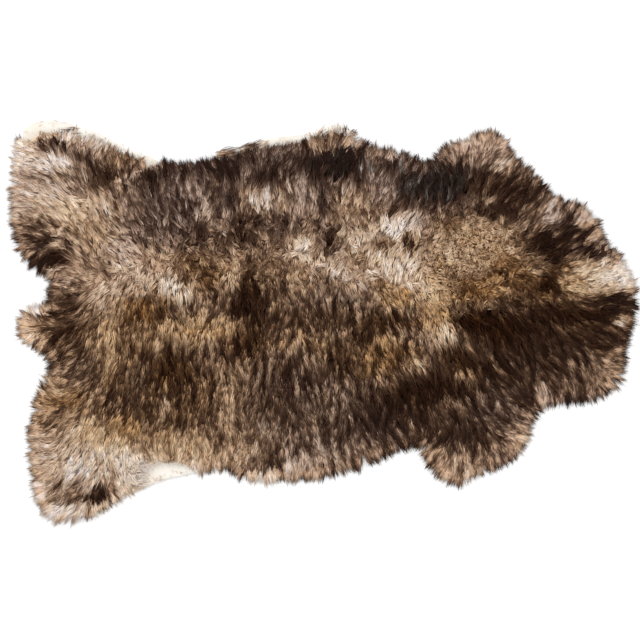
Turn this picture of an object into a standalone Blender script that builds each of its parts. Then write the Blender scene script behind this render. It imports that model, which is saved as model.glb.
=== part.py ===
"""A sheepskin rug: one tanned hide lying flat, with its long wool on.

The skin and the wool that grows out of it are one solid. The underside is flat tanned skin.
The wool is a lumpy slab that rounds down to its rim, where it breaks up into locks that droop
to the floor. At a few stretches of the edge the wool stops short and the thin skin lies bare.
The neck points along +X and the animal's left side lies along +Y. Lengths are in metres.
"""

import math
from random import Random

import bmesh
import bpy
import numpy as np
from mathutils import Vector, noise
from mathutils.geometry import delaunay_2d_cdt

MM = 0.001

# The outline of the hide seen from above, anticlockwise from the middle of the neck, in mm.
# Columns: along the spine towards the neck, across it towards the left side, bare skin at the edge.
OUTLINE = {
    "neck, left side": (
        (525, 20, 0), (522, 55, 0), (502, 106, 0), (475, 133, 0),
        (465, 166, 0), (430, 201, 0), (389, 213, 0),
    ),
    "left fore leg": (
        (362, 241, 0), (339, 266, 0), (319, 280, 0), (307, 306, 0),
        (275, 323, 0), (234, 308, 0), (194, 295, 0), (172, 268, 0),
    ),
    "left flank": (
        (141, 283, 0), (94, 295, 0), (57, 310, 2), (34, 328, 8), (4, 324, 8),
        (-42, 310, 6), (-89, 306, 12), (-131, 293, 8), (-181, 280, 3), (-239, 271, 0),
    ),
    "left hind leg": (
        (-289, 275, 5), (-330, 288, 8), (-372, 311, 9), (-414, 326, 8),
        (-458, 334, 10), (-495, 328, 9), (-517, 301, 2), (-525, 251, 0),
        (-526, 188, 0), (-519, 130, 0), (-498, 92, 0), (-468, 77, 0),
    ),
    "rump and tail": (
        (-457, 56, 0), (-468, 33, 0), (-499, 27, 0), (-515, -4, 0),
        (-505, -43, 0), (-472, -53, 0), (-458, -83, 0),
    ),
    "right hind leg": (
        (-482, -116, 0), (-495, -175, 0), (-494, -236, 0), (-485, -298, 0),
        (-449, -337, 0), (-390, -334, 0), (-352, -308, 4), (-325, -291, 8),
    ),
    "right flank": (
        (-272, -268, 18), (-222, -256, 8), (-172, -251, 1), (-122, -266, 6),
        (-64, -268, 3), (2, -263, 0), (64, -243, 0), (127, -218, 0), (157, -213, 0),
    ),
    "right fore leg": (
        (172, -243, 0), (221, -280, 0), (266, -258, 0), (314, -238, 0),
        (341, -207, 0), (350, -168, 0), (375, -143, 0),
    ),
    "neck, right side": (
        (423, -140, 0), (473, -123, 0), (502, -92, 0), (510, -37, 0),
    ),
}

# Creases left in the hide by folding, in mm.
# Columns: start along, start across, end along, end across, half width, depth.
CREASES = (
    (-380, 222, -275, 268, 16, 9),
    (-5, 290, 0, 120, 14, 6),
    (-140, 60, -120, -40, 22, 6),
    (60, 14, 180, 10, 18, 5),
    (-440, 100, -330, 40, 20, 5),
)

SKIN_THICKNESS = 0.002
WOOL_HEIGHT = 0.037        # standing height of the wool over the middle of the hide
WOOL_RIM_HEIGHT = 0.012    # and where it breaks up into locks at the rim
RIM_ROUNDING = 0.034       # distance in which it rises to nearly its full height
BIG_LUMP = 0.085           # size and height of the broad lumps
BIG_LUMP_HEIGHT = 0.012
TUFT = 0.034               # size and height of the single tufts
TUFT_HEIGHT = 0.010
SPINE_DIP = 0.004          # the wool parts a little along the spine
SPINE_HALF_WIDTH = 0.030

LOCK_REACH = 0.017         # how far the locks reach past the slab of wool
BARE_LOCK_REACH = 0.011    # and where they lie on bare skin
SKIN_INSET = 0.003         # the skin's edge lies this far inside the slab's
BARE_SKIN = 0.006          # with this much bare skin its edge is the outline itself
SLAB_FOOT = 0.003          # height of the slab's lower edge over the floor
WALL_SLOPE = 0.003         # the slab's wall leans in by this much
LOCKS = 272
LOCK_UNEVEN = 0.36         # how unlike the widths of neighbouring locks are
LOCK_STEPS = ((0.66, 0.41, 0.0064), (1.0, 0.11, 0.0018))   # share of reach, of pitch, height
LOCK_SHORTEST = 0.78       # share of the way to the outline that the locks reach
LOCK_LONGEST = 1.12
LOCK_SWEEP = 0.45          # how far the locks lean along the lie of the wool
LOCK_SPREAD = 1.5          # a lock has room for this times its root's width at its tip
CROWDED_REACH = 0.62       # share of the way that locks reach where they crowd in a notch
LOCK_CLEAR_OF_SKIN = 0.0007
LIES_ON_SKIN = 0.02        # share of bare skin from which a lock lies on it
LIE_LENGTH = 0.50          # the wool lies outwards from the middle of the spine, like the
LIE_WIDTH = 0.33           # slope of an oval dome with these half axes

CURVE_STEPS = 12           # points on the smooth outline between two rows of its table
PER_LOCK = 9               # and along the root of one lock, where the edges are worked out
NEARLY = 0.93              # an inset line keeps only what lies nearly its inset from the outline
WOOL_PITCH = 0.0158        # spacing of the points that carry the lumps
WOOL_WANDER = 0.16         # share of the spacing that they stray from even rows
WOOL_OFF_RIM = 0.62        # and share of it that they keep off the rim
SEED = 23


def smooth_closed_line(rows, steps):
    """Points of a smooth closed line through the rows. Every column is carried along it."""
    here = np.array(rows, float)
    before = np.roll(here, 1, axis=0)
    after = np.roll(here, -1, axis=0)
    later = np.roll(here, -2, axis=0)
    spans = []
    for t in np.linspace(0.0, 1.0, steps, endpoint=False):
        linear = (after - before) * t
        square = (2 * before - 5 * here + 4 * after - later) * t ** 2
        cube = (3 * here - before - 3 * after + later) * t ** 3
        spans.append(0.5 * (2 * here + linear + square + cube))
    return np.stack(spans, axis=1).reshape(-1, here.shape[1])


def spaced(line, widths):
    """The closed line again, its points spaced like the widths; every column is carried along."""
    closed = np.vstack([line, line[:1]])
    steps = np.linalg.norm(np.diff(closed[:, :2], axis=0), axis=1)
    reached = np.concatenate([[0.0], np.cumsum(steps)])
    wanted = (np.cumsum(widths) - widths) / widths.sum() * reached[-1]
    columns = [np.interp(wanted, reached, closed[:, k]) for k in range(closed.shape[1])]
    return np.stack(columns, axis=1)


def outward(line, reach):
    """Unit vectors pointing out of an anticlockwise closed line, eased over reach points."""
    along = sum(np.roll(line[:, :2], -k, axis=0) - np.roll(line[:, :2], k, axis=0)
                for k in range(1, reach + 1))
    out = np.stack([along[:, 1], -along[:, 0]], axis=1)
    return out / np.linalg.norm(out, axis=1, keepdims=True)


def distance_to(line, points):
    """How far each point lies from a closed line."""
    start = line[:, :2]
    span = np.roll(start, -1, axis=0) - start
    nearest = np.full(len(points), np.inf)
    for a, d in zip(start, span):
        t = np.clip((points - a) @ d / max(d @ d, 1e-12), 0.0, 1.0)
        nearest = np.minimum(nearest, np.linalg.norm(points - a - t[:, None] * d, axis=1))
    return nearest


def eased(value, low, high):
    """0 below low, 1 above high, and a soft step between."""
    t = np.clip((value - low) / (high - low), 0.0, 1.0)
    return t * t * (3.0 - 2.0 * t)


def edge_lines(rng):
    """The outline, the slab's edge and the skin's edge, point for point beside each other."""
    rows = [row for stretch in OUTLINE.values() for row in stretch]
    outline = spaced(smooth_closed_line(rows, CURVE_STEPS) * MM, np.ones(LOCKS * PER_LOCK))
    bare = np.clip(outline[:, 2], 0.0, None)
    on_skin = eased(bare, 0.0, BARE_SKIN)
    slab_inset = bare + LOCK_REACH + (BARE_LOCK_REACH - LOCK_REACH) * on_skin
    skin_inset = (LOCK_REACH + SKIN_INSET) * (1.0 - on_skin)
    out = outward(outline, PER_LOCK)
    slab = outline[:, :2] - out * slab_inset[:, None]
    clear = distance_to(outline, slab) > NEARLY * slab_inset
    skin = outline[:, :2] - out * skin_inset[:, None]
    joined = np.hstack([slab, outline[:, :2], skin, on_skin[:, None]])[clear]
    widths = np.array([1.0 + LOCK_UNEVEN * rng.uniform(-1, 1) for _ in range(LOCKS)])
    ends = spaced(joined, widths)
    return ends[:, 2:4], ends[:, 0:2], ends[:, 4:6], ends[:, 6]


def wool_height(x, y, from_rim):
    """Height of the wool's top over the floor at a place on the hide."""
    rise = 1.0 - math.exp(-from_rim / RIM_ROUNDING)
    height = WOOL_RIM_HEIGHT + (WOOL_HEIGHT - WOOL_RIM_HEIGHT) * rise
    broad = noise.noise(Vector((x, y, 0.0)) / BIG_LUMP)
    tuft = noise.noise(Vector((x, y, 0.0)) / TUFT)
    height += rise * (BIG_LUMP_HEIGHT * broad + TUFT_HEIGHT * tuft)
    height -= rise * SPINE_DIP * math.exp(-(y / SPINE_HALF_WIDTH) ** 2)
    for x0, y0, x1, y1, half_width, depth in CREASES:
        start = Vector((x0, y0)) * MM
        span = Vector((x1 - x0, y1 - y0)) * MM
        share = min(max((Vector((x, y)) - start).dot(span) / span.length_squared, 0.0), 1.0)
        beside = (Vector((x, y)) - start - share * span).length
        height -= rise * depth * MM * math.exp(-(beside / (half_width * MM)) ** 2)
    return height


def ring(bm, points, height):
    """A closed row of vertices at one height."""
    return [bm.verts.new((x, y, height)) for x, y in points]


def loft(bm, lower, upper):
    """Faces between two rows of vertices, one for each pair of neighbours."""
    faces = []
    for i, vertex in enumerate(lower):
        j = (i + 1) % len(lower)
        faces.append(bm.faces.new((vertex, lower[j], upper[j], upper[i])))
    return faces


def add_wool_top(bm, rim, rng):
    """The lumpy top of the wool, from its rim inwards, on an uneven mesh of triangles."""
    edge = np.array([vertex.co[:2] for vertex in rim])
    count = len(rim)
    low, high = edge.min(axis=0), edge.max(axis=0)
    row_step = WOOL_PITCH * math.sqrt(0.75)
    spots = []
    for row in range(int((high[1] - low[1]) / row_step) + 1):
        shift = WOOL_PITCH * 0.5 * (row % 2)
        for column in range(int((high[0] - low[0]) / WOOL_PITCH) + 1):
            x = low[0] + shift + column * WOOL_PITCH
            y = low[1] + row * row_step
            stray = WOOL_WANDER * WOOL_PITCH
            spots.append((x + stray * rng.uniform(-1, 1), y + stray * rng.uniform(-1, 1)))
    spots = np.array(spots)
    spots = spots[distance_to(edge, spots) > WOOL_OFF_RIM * WOOL_PITCH]
    flat = [Vector(p) for p in np.vstack([edge, spots])]
    hoop = [(i, (i + 1) % count) for i in range(count)]
    inside_only, merging = 1, 1e-6
    places, _, triangles, sources, _, _ = delaunay_2d_cdt(flat, hoop, [], inside_only, merging)
    reach = distance_to(edge, np.array([p[:] for p in places]))
    vertices = []
    for place, source, from_rim in zip(places, sources, reach):
        at_rim = [k for k in source if k < count]
        if at_rim:
            vertices.append(rim[at_rim[0]])
        else:
            height = wool_height(place.x, place.y, from_rim)
            vertices.append(bm.verts.new((place.x, place.y, height)))
    for triangle in triangles:
        bm.faces.new([vertices[k] for k in triangle])


def lie_of_wool(place):
    """The way the wool lies at a place on the hide, as a unit vector."""
    return Vector((place.x / LIE_LENGTH ** 2, place.y / LIE_WIDTH ** 2)).normalized()


def add_lock(bm, face, root_span, tips, on_skin, length):
    """One lock of wool: the slab's wall drawn out in tapering steps to a drooping tip."""
    root = face.calc_center_median().xy
    run = (tips[0] + tips[1]) / 2 - root
    across = Vector((-run.y, run.x)).normalized()
    root_room = abs(root_span.dot(across))
    tip_room = min(abs((tips[1] - tips[0]).dot(across)), root_room * LOCK_SPREAD)
    crowding = min(tip_room / root_room, 1.0)
    sweep = across.dot(lie_of_wool(root)) * LOCK_SWEEP * crowding * run.length
    run = (run + across * sweep) * min(length, CROWDED_REACH + crowding / 2)
    lower_side = SKIN_THICKNESS + LOCK_CLEAR_OF_SKIN if on_skin else 0.0
    for share, width, height in LOCK_STEPS:
        room = root_room + (tip_room - root_room) * share
        face = bmesh.ops.extrude_discrete_faces(bm, faces=[face])["faces"][0]
        middle = face.calc_center_median()
        for vertex in face.verts:
            side = 1.0 if (vertex.co - middle).xy.dot(across) > 0.0 else -1.0
            above = height if vertex.co.z > middle.z else 0.0
            place = root + run * share + across * side * room * width
            vertex.co = (place.x, place.y, lower_side + above)


def add_locks(bm, walls, slab, tips, on_skin, rng):
    """A lock on every stretch of the slab's wall, aimed at the outline beside it."""
    slab = [Vector(point) for point in slab]
    tips = [Vector(point) for point in tips]
    for i, face in enumerate(walls):
        j = (i + 1) % len(walls)
        length = rng.uniform(LOCK_SHORTEST, LOCK_LONGEST)
        lies_on_skin = max(on_skin[i], on_skin[j]) > LIES_ON_SKIN
        add_lock(bm, face, slab[j] - slab[i], (tips[i], tips[j]), lies_on_skin, length)


def build_sheepskin():
    """The mesh of the whole sheepskin, centred over its own box, with its underside at zero."""
    rng = Random(SEED)
    tips, slab, skin, on_skin = edge_lines(rng)
    inwards = -outward(slab, 2)
    bm = bmesh.new()
    under = ring(bm, skin, 0.0)
    skin_top = ring(bm, skin, SKIN_THICKNESS)
    slab_foot = ring(bm, slab, SLAB_FOOT)
    slab_rim = ring(bm, slab + inwards * WALL_SLOPE, WOOL_RIM_HEIGHT)
    bm.faces.new(list(reversed(under)))
    loft(bm, under, skin_top)
    loft(bm, skin_top, slab_foot)
    walls = loft(bm, slab_foot, slab_rim)
    add_wool_top(bm, slab_rim, rng)
    add_locks(bm, walls, slab, tips, on_skin, rng)
    bmesh.ops.triangulate(bm, faces=bm.faces)
    places = np.array([vertex.co for vertex in bm.verts])
    middle = (places.min(axis=0) + places.max(axis=0)) / 2
    bmesh.ops.translate(bm, verts=bm.verts, vec=(-middle[0], -middle[1], 0.0))
    return bm


def wool_material():
    """Dull brown and cream wool."""
    material = bpy.data.materials.new("wool")
    material.use_nodes = True
    shader = material.node_tree.nodes["Principled BSDF"]
    shader.inputs["Base Color"].default_value = (0.205, 0.146, 0.108, 1.0)
    shader.inputs["Roughness"].default_value = 0.75
    shader.inputs["Metallic"].default_value = 0.0
    return material


for leftover in list(bpy.data.objects):
    bpy.data.objects.remove(leftover, do_unlink=True)

collection = bpy.data.collections.new("sheepskin")
bpy.context.scene.collection.children.link(collection)

mesh = bpy.data.meshes.new("sheepskin")
solid = build_sheepskin()
solid.to_mesh(mesh)
solid.free()
mesh.materials.append(wool_material())
mesh.shade_smooth()
collection.objects.link(bpy.data.objects.new("sheepskin", mesh))
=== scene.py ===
# A sheepskin rug lying flat on the floor, seen from above: the finish of the one solid in the frame.
# The neck points to +X and the animal's left to +Y. Lengths are in metres, tables of places in mm.
import math

import bmesh
import bpy
import numpy as np
from mathutils import Matrix, Vector, kdtree, noise
from mathutils.bvhtree import BVHTree


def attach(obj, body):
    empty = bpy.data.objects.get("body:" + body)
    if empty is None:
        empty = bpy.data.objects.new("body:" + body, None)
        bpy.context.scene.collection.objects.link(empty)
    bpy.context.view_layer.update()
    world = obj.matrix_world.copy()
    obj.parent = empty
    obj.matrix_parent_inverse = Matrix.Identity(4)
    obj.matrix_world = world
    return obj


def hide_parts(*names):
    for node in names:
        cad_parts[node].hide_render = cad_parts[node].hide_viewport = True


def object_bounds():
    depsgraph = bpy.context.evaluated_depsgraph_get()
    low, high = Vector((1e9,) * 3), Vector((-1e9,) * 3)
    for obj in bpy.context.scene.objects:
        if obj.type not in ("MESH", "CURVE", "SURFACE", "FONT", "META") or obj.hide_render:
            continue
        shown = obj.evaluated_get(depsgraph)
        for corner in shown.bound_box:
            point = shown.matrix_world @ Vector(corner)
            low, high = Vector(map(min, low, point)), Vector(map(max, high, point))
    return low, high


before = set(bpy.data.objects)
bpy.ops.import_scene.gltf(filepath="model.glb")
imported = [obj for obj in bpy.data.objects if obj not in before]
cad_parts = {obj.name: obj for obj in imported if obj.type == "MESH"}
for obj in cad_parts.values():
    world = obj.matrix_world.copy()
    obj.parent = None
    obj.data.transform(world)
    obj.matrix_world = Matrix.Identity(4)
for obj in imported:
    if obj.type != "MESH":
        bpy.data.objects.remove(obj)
cad_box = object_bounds()


# The tanned skin
# One whole hide, tanned to soft leather about 2 mm thick, lying suede side down. It was trimmed by hand,
# so its edge wanders, and where no wool covers the rim the leather has dried and lifted a little.

SKIN_THICKNESS = 0.002
SKIN_SQUARE = 0.011  # the leather is cut into squares of this size, so that it can wrinkle
SKIN_RAGGED = 0.0011  # how far its edge wanders, and how long the nicks in it are
SKIN_NICK = 0.009
SKIN_WRINKLE = 0.0007
SKIN_WRINKLE_LENGTH = 0.045
SKIN_LIFT = 0.0025  # how far the bare rim stands up at its edge
SKIN_LIFT_WIDTH = 0.020
ON_FLOOR = 1e-5  # anything lower than this lies on the floor
WOOL_RIM_HEIGHT = 0.012  # the frame's slab of wool has this height at its rim
RIM_TOLERANCE = 5e-5
ABOVE = 1.0  # heights are measured by rays cast down from here
DOWN = Vector((0.0, 0.0, -1.0))
NOISE_GAIN = 1.4  # brings plain noise to about -1 to 1


def frame_solid():
    """A copy of the frame's solid, its loose triangles merged."""
    solid = bmesh.new()
    solid.from_mesh(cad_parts["sheepskin"].data)
    bmesh.ops.remove_doubles(solid, verts=solid.verts, dist=ON_FLOOR)
    return solid


def keep_only(bm, kept):
    """Drops every face but these, with the edges and vertices that only the others used."""
    kept = set(kept)
    bmesh.ops.delete(bm, geom=[face for face in bm.faces if face not in kept], context="FACES")


def island_of(start, allowed):
    """The faces that hang together with one face, through edges, among the allowed ones."""
    found = {start}
    waiting = [start]
    while waiting:
        for edge in waiting.pop().edges:
            for other in edge.link_faces:
                if other in allowed and other not in found:
                    found.add(other)
                    waiting.append(other)
    return found


def eased(value, low, high):
    """0 below low, 1 above high, and a soft step between."""
    t = np.clip((value - low) / (high - low), 0.0, 1.0)
    return t * t * (3.0 - 2.0 * t)


def wander(place, size, layer):
    """Soft noise from about -1 to 1 at a place, with features of that size. Each layer has its own."""
    return NOISE_GAIN * noise.noise(Vector((place[0] / size, place[1] / size, layer)))


whole = frame_solid()
wool_slab = BVHTree.FromBMesh(whole)
rim_vertices = [v for v in whole.verts if abs(v.co.z - WOOL_RIM_HEIGHT) < RIM_TOLERANCE]
wool_rim = kdtree.KDTree(len(rim_vertices))
for index, vertex in enumerate(rim_vertices):
    wool_rim.insert((vertex.co.x, vertex.co.y, 0.0), index)
wool_rim.balance()
whole.free()


def height_of(surface, x, y):
    """Height of a surface at a place, or 0 beside it."""
    hit = surface.ray_cast(Vector((x, y, ABOVE)), DOWN)[0]
    return hit.z if hit else 0.0


def top_height(x, y):
    """Height of the frame's solid at a place, or 0 beside it."""
    return height_of(wool_slab, x, y)


def rim_distance(x, y):
    """Distance from the wool's rim, whose sign is positive under the wool."""
    away = wool_rim.find(Vector((x, y, 0.0)))[2]
    under_wool = top_height(x, y) > WOOL_RIM_HEIGHT - RIM_TOLERANCE
    return away if under_wool else -away


def make_skin():
    """The leather as a closed form: the flat underside of the frame's solid, with its thickness."""
    bm = frame_solid()
    low = {face for face in bm.faces if max(v.co.z for v in face.verts) < ON_FLOOR}
    islands = []
    while low:
        island = island_of(next(iter(low)), low)
        low -= island
        islands.append(island)
    keep_only(bm, max(islands, key=lambda island: sum(face.calc_area() for face in island)))
    bmesh.ops.dissolve_faces(bm, faces=bm.faces[:])
    for axis in (Vector((1.0, 0.0, 0.0)), Vector((0.0, 1.0, 0.0))):
        reach = max(abs(v.co.dot(axis)) for v in bm.verts)
        for cut in np.arange(-reach + SKIN_SQUARE / 2, reach, SKIN_SQUARE):
            everything = bm.verts[:] + bm.edges[:] + bm.faces[:]
            bmesh.ops.bisect_plane(bm, geom=everything, plane_co=axis * cut, plane_no=axis)
    edge_vertices = {v for e in bm.edges if e.is_boundary for v in e.verts}
    for v in edge_vertices:
        v.co.x += SKIN_RAGGED * wander(v.co, SKIN_NICK, layer=1.0)
        v.co.y += SKIN_RAGGED * wander(v.co, SKIN_NICK, layer=2.0)
    bmesh.ops.solidify(bm, geom=bm.faces[:], thickness=SKIN_THICKNESS)
    lowest = min(v.co.z for v in bm.verts)
    for v in bm.verts:
        v.co.z -= lowest
        bare = -rim_distance(v.co.x, v.co.y)
        lift = SKIN_LIFT * eased(bare, 0.0, SKIN_LIFT_WIDTH)
        v.co.z += lift * (1.0 + wander(v.co, SKIN_WRINKLE_LENGTH, layer=3.0))
        if v.co.z > SKIN_THICKNESS / 2:
            v.co.z += SKIN_WRINKLE / 2 * (wander(v.co, SKIN_WRINKLE_LENGTH, layer=4.0) - 1.0)
    bmesh.ops.recalc_face_normals(bm, faces=bm.faces[:])
    return bm


def mesh_of(name, form):
    """The mesh of a finished form."""
    mesh = bpy.data.meshes.new(name)
    form.to_mesh(mesh)
    form.free()
    mesh.shade_smooth()
    return mesh


def new_object(name, mesh, material):
    """An object in the scene, of one mesh and one material."""
    mesh.materials.append(material)
    made = bpy.data.objects.new(name, mesh)
    bpy.context.scene.collection.objects.link(made)
    return made


def set_inputs(tree, node, inputs):
    """Gives a shader node its inputs, by name or number: each a value, or the socket that feeds it."""
    for key, value in inputs.items():
        if isinstance(value, bpy.types.NodeSocket):
            tree.links.new(value, node.inputs[key])
        else:
            node.inputs[key].default_value = value


def add_node(tree, kind, inputs=(), **settings):
    """A new shader node with these inputs and settings."""
    made = tree.nodes.new("ShaderNode" + kind)
    for name, value in settings.items():
        setattr(made, name, value)
    set_inputs(tree, made, dict(inputs))
    return made


def add_math(tree, operation, first, second=0.0):
    """The result of one sum on two numbers."""
    return add_node(tree, "Math", {0: first, 1: second}, operation=operation).outputs[0]


def add_range(tree, value, given=(0.0, 1.0), wanted=(0.0, 1.0), **settings):
    """A number brought from one range to another."""
    inputs = {0: value, 1: given[0], 2: given[1], 3: wanted[0], 4: wanted[1]}
    return add_node(tree, "MapRange", inputs, **settings).outputs[0]


def add_ramp(tree, factor, stops):
    """A colour ramp with these stops, each a place from 0 to 1 and a colour."""
    ramp = add_node(tree, "ValToRGB", {"Fac": factor})
    elements = ramp.color_ramp.elements
    while len(elements) < len(stops):
        elements.new(0.5)
    for element, (place, colour) in zip(elements, stops):
        element.position = place
        element.color = (*colour, 1.0)
    return ramp.outputs["Color"]


def add_noise(tree, where, scale, detail, roughness=0.5):
    """Even, cloudy noise from 0 to 1."""
    inputs = {"Vector": where, "Scale": scale, "Detail": detail, "Roughness": roughness}
    return add_node(tree, "TexNoise", inputs).outputs["Fac"]


def add_bump(tree, height, strength, distance):
    """Normals over a relief."""
    return add_node(tree, "Bump", {"Height": height, "Strength": strength, "Distance": distance}).outputs[0]


def new_material(name):
    """A material with its node tree, and the Principled shader in it."""
    material = bpy.data.materials.new(name)
    material.use_nodes = True
    return material, material.node_tree, material.node_tree.nodes["Principled BSDF"]


# The leather's colours, from where the tan took deepest to where it hardly took.
LEATHER_COLOURS = (
    (0.26, (0.66, 0.54, 0.42)), (0.40, (0.79, 0.72, 0.62)), (0.54, (0.85, 0.81, 0.74)),
)
BLOTCHES = (11.0, 5.0, 0.6)  # how many a metre, their detail and their roughness
NAP = (900.0, 2.0)
NAP_HEIGHT = 0.5  # as a share of the creases'
NAP_SHADE = 0.35
CREASES = 60.0  # so many a metre
CREASE_WIDTH = 0.16  # as a share of their spacing
LEATHER_RELIEF = (0.35, 0.0006)  # strength and depth
LEATHER_ROUGHNESS = (0.72, 0.95)
LEATHER_SHEEN = 0.25


def leather_material():
    """Pale, matt suede: blotchy from tanning, with a fine nap and shallow creases."""
    material, tree, shader = new_material("tanned_skin")
    where = add_node(tree, "TexCoord").outputs["Object"]
    blotches = add_noise(tree, where, *BLOTCHES)
    nap = add_noise(tree, where, *NAP)
    cells = add_node(tree, "TexVoronoi", {"Vector": where, "Scale": CREASES}, feature="DISTANCE_TO_EDGE")
    creases = add_range(tree, cells.outputs["Distance"], (0.0, CREASE_WIDTH))
    relief = add_math(tree, "ADD", add_math(tree, "MULTIPLY", nap, NAP_HEIGHT), creases)
    inputs = {0: NAP_SHADE, 1: add_ramp(tree, blotches, LEATHER_COLOURS), 2: nap}
    set_inputs(tree, shader, {
        "Base Color": add_node(tree, "MixRGB", inputs, blend_type="SOFT_LIGHT").outputs[0],
        "Roughness": add_range(tree, blotches, wanted=LEATHER_ROUGHNESS),
        "Normal": add_bump(tree, relief, *LEATHER_RELIEF),
        "Sheen Weight": LEATHER_SHEEN,
    })
    return material


skin_mesh = mesh_of("skin", make_skin())
skin = new_object("skin", skin_mesh, leather_material())
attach(skin, "root")
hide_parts("sheepskin")


# The underwool
# Close to the skin the wool is a dense, crimped mat that carries the longer locks. It grows out of the
# leather, follows its lumps and partings, and has the animal's own brown and cream patches.

MM = 0.001  # the tables give places on the hide in mm, along the spine and across it

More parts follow.
